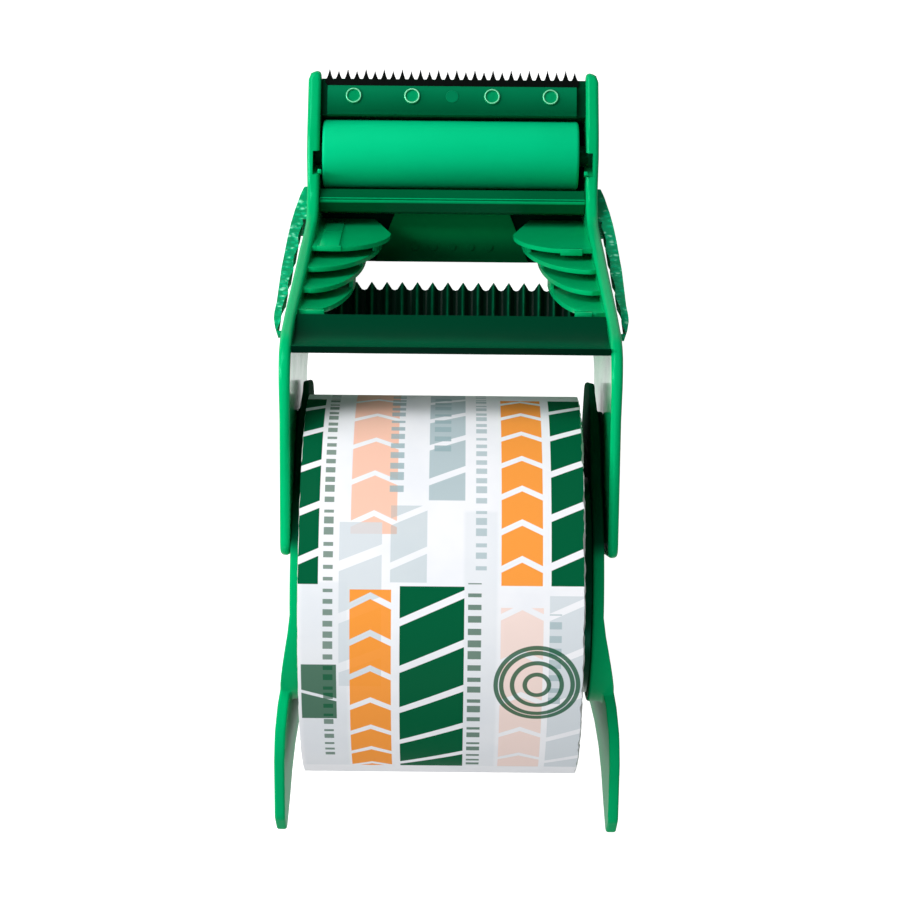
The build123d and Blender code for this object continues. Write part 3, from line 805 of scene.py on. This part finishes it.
# ---- roller and tape -------------------------------------------------------------------------
def roller_sleeve(material):
    """Roller sleeve with rolled ends."""
    low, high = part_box("applicator_roller")
    half = (high.x - low.x) / 2
    radius = (high.z - low.z) / 2
    inner = radius - ROLLER_WALL
    profile = [(-half + ROLLER_LIP, inner), (half - ROLLER_LIP, inner)]
    for end in (1, -1):
        edge = [(end * half, inner + ROLLER_END_FLAT)]
        for step in range(ROLLER_LIP_STEPS + 1):
            turn = math.pi / 2 * step / ROLLER_LIP_STEPS
            x = half - ROLLER_LIP + ROLLER_LIP * math.cos(turn)
            edge.append((end * x, radius - ROLLER_LIP + ROLLER_LIP * math.sin(turn)))
        profile += edge if end == 1 else list(reversed(edge))
    mesh = finish_mesh(lathe(profile, ROLLER_SEGMENTS), "roller_sleeve", 40.0)
    piece = put("roller_sleeve", mesh, "roller", material, ["applicator_roller"])
    middle = Vector(((low.x + high.x) / 2, 0.0, 0.0))
    piece.matrix_world = Matrix.Translation(ROLLER_AXIS + middle)
    return piece


def ragged_waves(draw):
    """Waves round the roll: how many to a turn, where each starts, and its height."""
    waves = []
    for count in WAVE_COUNTS:
        waves.append((count, draw.uniform(0, 2 * math.pi), draw.uniform(*WAVE_HEIGHT)))
    return waves


def wound_profile(draw, middle, half, inner, outer):
    """Section of the roll: one point to a layer on each side, none quite in line."""
    profile = []
    for end in (-1, 1):
        ring = []
        for layer in range(TAPE_LAYERS + 1):
            radius = inner + (outer - inner) * layer / TAPE_LAYERS
            slip = draw.uniform(0.0, LAYER_SLIP)
            ring.append((middle + end * (half - slip), radius))
        profile += ring if end == -1 else list(reversed(ring))
    return profile


def tape_roll(film, side):
    """Roll of film: smooth outer wrap, and sides of thin layers that don't quite line up."""
    low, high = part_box("tape_roll")
    core_low, core_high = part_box("tape_core")
    outer = (high.z - low.z) / 2
    inner = (core_high.z - core_low.z) / 2
    middle = (low.x + high.x) / 2
    half = (high.x - low.x) / 2
    draw = random.Random(7)
    bm = lathe(wound_profile(draw, middle, half, inner, outer), TAPE_SEGMENTS)
    waves = ragged_waves(draw)
    for vert in bm.verts:
        turn = math.atan2(vert.co.y, vert.co.z)
        radius = math.hypot(vert.co.y, vert.co.z)
        wander = 0.0
        for count, phase, size in waves:
            wander += size * math.sin(count * turn + phase + WAVE_TWIST * radius)
        if vert.co.x > middle:
            vert.co.x -= abs(wander)
        else:
            vert.co.x += abs(wander) * LEFT_RAGGEDNESS
    for face in bm.faces:
        centre = face.calc_center_median()
        radius = math.hypot(centre.y, centre.z)
        wrap = abs(centre.x - middle) < half * 0.5 and radius > (outer + inner) / 2
        face.material_index = 0 if wrap else 1
    mesh = finish_mesh(bm, "wound_tape", 40.0)
    piece = put("wound_tape", mesh, "tape", film, ["tape_roll"])
    mesh.materials.append(side)
    piece.matrix_world = Matrix.Translation(TAPE_AXIS)
    return piece


# ---- stage -----------------------------------------------------------------------------------
def pale_floor():
    """Floor seen as white, giving a little fill, and bright in reflections only under the roll."""
    bm = bmesh.new()
    bmesh.ops.create_grid(bm, x_segments=1, y_segments=1, size=FLOOR_SIZE / 2)
    mesh = bpy.data.meshes.new("floor")
    bm.to_mesh(mesh)
    bm.free()
    floor = bpy.data.objects.new("floor", mesh)
    bpy.context.scene.collection.objects.link(floor)
    floor.location = (0.0, FLOOR_MIDDLE, CAD_LOW.z - FLOOR_GAP)

    made = Shader("pale_floor")
    rays = made.node("ShaderNodeLightPath", {}).outputs
    away = made.node("ShaderNodeVectorMath", {0: made.place()}, operation="LENGTH")
    near = made.span(away.outputs["Value"], *FLOOR_NEAR, FLOOR_MIRRORED, WORLD_MIRRORED)
    mirrored = made.math("MULTIPLY", rays["Is Glossy Ray"], near)
    glow = made.math("MULTIPLY", rays["Is Camera Ray"], FLOOR_GLOW)
    fill = made.math("MULTIPLY", rays["Is Diffuse Ray"], FLOOR_FILL)
    strength = made.math("ADD", glow, made.math("ADD", mirrored, fill))
    made.set(Base_Color=rgb(0.3, 0.3, 0.3), Roughness=0.8)
    made.set(Emission_Color=rgb(1.0, 1.0, 1.0), Emission_Strength=strength)
    mesh.materials.append(made.material)


def studio_world():
    """White surroundings, dimmer in reflections."""
    world = bpy.data.worlds.new("studio")
    bpy.context.scene.world = world
    world.use_nodes = True
    nodes = world.node_tree.nodes
    links = world.node_tree.links
    background = nodes["Background"]
    background.inputs["Color"].default_value = rgb(1.0, 1.0, 1.0)
    rays = nodes.new("ShaderNodeLightPath")
    level = nodes.new("ShaderNodeMapRange")
    level.inputs["To Min"].default_value = WORLD_GLOW
    level.inputs["To Max"].default_value = WORLD_MIRRORED
    links.new(rays.outputs["Is Glossy Ray"], level.inputs["Value"])
    links.new(level.outputs["Result"], background.inputs["Strength"])


def softbox(name, place, width, height, watts):
    """A rectangular lamp aimed at the object."""
    lamp = bpy.data.lights.new(name, "AREA")
    lamp.shape = "RECTANGLE"
    lamp.size = width
    lamp.size_y = height
    lamp.energy = watts
    holder = bpy.data.objects.new(name, lamp)
    bpy.context.scene.collection.objects.link(holder)
    holder.location = place
    aim = LAMP_TARGET - Vector(place)
    holder.rotation_mode = "QUATERNION"
    holder.rotation_quaternion = aim.to_track_quat("-Z", "Y")


def front_camera():
    """Camera above the object, tilted a little towards its tail."""
    camera = bpy.data.cameras.new("camera")
    camera.lens = LENS
    camera.sensor_width = SENSOR
    camera.clip_start = CLIP_START
    holder = bpy.data.objects.new("camera", camera)
    bpy.context.scene.collection.objects.link(holder)
    tilt = Matrix.Rotation(math.radians(CAMERA_TILT), 4, "X")
    roll = Matrix.Rotation(math.radians(CAMERA_ROLL), 4, "Z")
    holder.matrix_world = Matrix.Translation(CAMERA_AT) @ tilt @ roll
    bpy.context.scene.camera = holder
    bpy.context.scene.view_settings.view_transform = "Standard"


# ---- finishes, some with painted light and shade ---------------------------------------------
GREEN = moulded_plastic(
    "frame_green",
    colour=rgb(0.0, 0.43, 0.145),
    shade=rgb(0.0, 0.38, 0.125),
    rough=0.2,
    gloss=0.25,
)
INNER = moulded_plastic(
    "frame_green_inner",
    colour=rgb(0.0, 0.42, 0.145),
    shade=rgb(0.0, 0.38, 0.12),
    rough=0.2,
    gloss=0.4,
)
# Hub arms: painted shade, dark beside the wings and lit green below them, matte where dark.
ARM_PAINTED_SHADE = moulded_plastic(
    "frame_green_arm_painted_shade",
    colour=rgb(0.0, 0.05, 0.02),
    shade=rgb(0.0, 0.35, 0.12),
    rough=0.45,
    gloss=0.05,
    painted_fade=ARM_PAINTED_SHADE_SPAN,
    matte=1.0,
)
# Guide comb: near-black painted shade with painted crest highlights.
COMB_PAINTED_LIGHT = ridged_plastic_painted_light(
    "frame_green_ridges_painted_light",
    valley=rgb(0.0, 0.012, 0.006),
    crest_highlight=rgb(0.0, 0.12, 0.05),
)
# Painted shade: a dark copy of the frame green for the spigots, roller plugs and blade carrier.
PAINTED_SHADE_GREEN = moulded_plastic(
    "frame_green_painted_shade",
    colour=rgb(0.0, 0.06, 0.024),
    shade=rgb(0.0, 0.048, 0.018),
    rough=0.3,
    gloss=0.15,
)
# Crossbar: painted shade, a dark copy of the frame green, with a painted lighter band low on its front.
BAR_PAINTED_SHADE = moulded_plastic(
    "frame_green_bar_painted_shade",
    colour=rgb(0.0, 0.045, 0.019),
    shade=rgb(0.0, 0.085, 0.034),
    rough=0.35,
    gloss=0.02,
    painted_fade=BAR_PAINTED_BAND_SPAN,
)
# Roller beam: painted shade, a dark copy of the frame green.
BEAM_PAINTED_SHADE = moulded_plastic(
    "frame_green_beam_painted_shade",
    colour=rgb(0.0, 0.11, 0.038),
    shade=rgb(0.0, 0.09, 0.03),
    rough=0.3,
    gloss=0.04,
)
# Painted highlight along the beam's rounded nose.
BEAM_NOSE_PAINTED_HIGHLIGHT = moulded_plastic(
    "frame_green_nose_painted_highlight",
    colour=rgb(0.0, 0.40, 0.14),
    shade=rgb(0.0, 0.34, 0.12),
    rough=0.25,
    gloss=0.1,
)
# Palm panel: painted light and shade, lighter near the beam and darkening towards the tail.
PALM_PAINTED_SHADE = moulded_plastic(
    "frame_green_palm_painted_shade",
    colour=rgb(0.0, 0.30, 0.08),
    shade=rgb(0.0, 0.05, 0.014),
    rough=0.4,
    gloss=0.05,
    painted_fade=PALM_PAINTED_SHADE_SPAN,
)
# Painted shadow on the crossbar's low faces and on the palm plate's sunk wall.
SHADOW = moulded_plastic(
    "frame_green_painted_shadow",
    colour=rgb(0.0, 0.02, 0.01),
    shade=rgb(0.0, 0.015, 0.007),
    rough=0.5,
    gloss=0.03,
)
# Clamp strip: darker green, with painted shade growing from the blade side towards the roller.
CLAMP_PAINTED_SHADE = moulded_plastic(
    "clamp_green",
    colour=rgb(0.0, 0.17, 0.065),
    shade=rgb(0.0, 0.085, 0.03),
    rough=0.35,
    gloss=0.15,
    painted_fade=CLAMP_PAINTED_SHADE_SPAN,
)
# Painted highlight on the stake heads' rims.
RIM_PAINTED_HIGHLIGHT = moulded_plastic(
    "stake_rim_painted_highlight",
    colour=rgb(0.30, 0.85, 0.52),
    shade=rgb(0.18, 0.70, 0.40),
    rough=0.2,
    gloss=0.6,
)
CUP = moulded_plastic(
    "stake_cup",
    colour=rgb(0.0, 0.30, 0.11),
    shade=rgb(0.0, 0.26, 0.09),
    rough=0.3,
    gloss=0.3,
)
GATE = moulded_plastic(
    "gate_mark",
    colour=rgb(0.0, 0.19, 0.075),
    shade=rgb(0.0, 0.165, 0.06),
    rough=0.35,
    gloss=0.25,
)
ROLLER = moulded_plastic(
    "roller_green",
    colour=rgb(0.0, 0.54, 0.22),
    shade=rgb(0.0, 0.50, 0.2),
    rough=0.5,
    gloss=0.2,
)
# Grip pads: painted highlights on the nubs and painted shade between them.
GRIP_PAINTED_LIGHT = nubbed_grip_painted_light(
    "grip_green",
    colour=rgb(0.0, 0.44, 0.2),
    shade=rgb(0.0, 0.3, 0.12),
    crown_highlight=rgb(0.28, 0.8, 0.55),
)
BLACK = black_steel("blade_black")
CARD = card("core_card")
FILM_PRINT = printed_film("tape_film", (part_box("tape_roll")[1].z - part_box("tape_roll")[0].z) / 2)
FILM_SIDE = wound_edge("tape_side")

# ---- the object ------------------------------------------------------------------------------
for side in ("left", "right"):
    side_plate(side, GREEN, INNER)
    rounded(f"{side}_hub_arm", ARM_PAINTED_SHADE, ARM_NOSE, 3, False)
    rounded(f"{side}_finger_ribs", GREEN, RIB_EDGE)
    rounded(f"{side}_core_spigot", PAINTED_SHADE_GREEN)
    rounded(f"{side}_grip_pad", GRIP_PAINTED_LIGHT)
    rounded(f"{side}_roller_plug", PAINTED_SHADE_GREEN, THIN_EDGE)
rounded("blade_carrier", PAINTED_SHADE_GREEN, FINE_EDGE)
lower_crossbar(BAR_PAINTED_SHADE, SHADOW)
rounded("guide_comb", COMB_PAINTED_LIGHT, FINE_EDGE)
roller_beam(BEAM_PAINTED_SHADE, BEAM_NOSE_PAINTED_HIGHLIGHT)
palm_plate(PALM_PAINTED_SHADE, SHADOW)
domed_clamp(CLAMP_PAINTED_SHADE)
stake_heads(CUP, RIM_PAINTED_HIGHLIGHT, GATE)
rounded("tape_core", CARD, THIN_EDGE)
serrated_blade(BLACK)
rib_marks(GREEN)
slot_lips(GREEN)
roller_sleeve(ROLLER)
tape_roll(FILM_PRINT, FILM_SIDE)

# ---- the stage -------------------------------------------------------------------------------
pale_floor()
studio_world()
for lamp in LAMPS:
    softbox(*lamp)
front_camera()
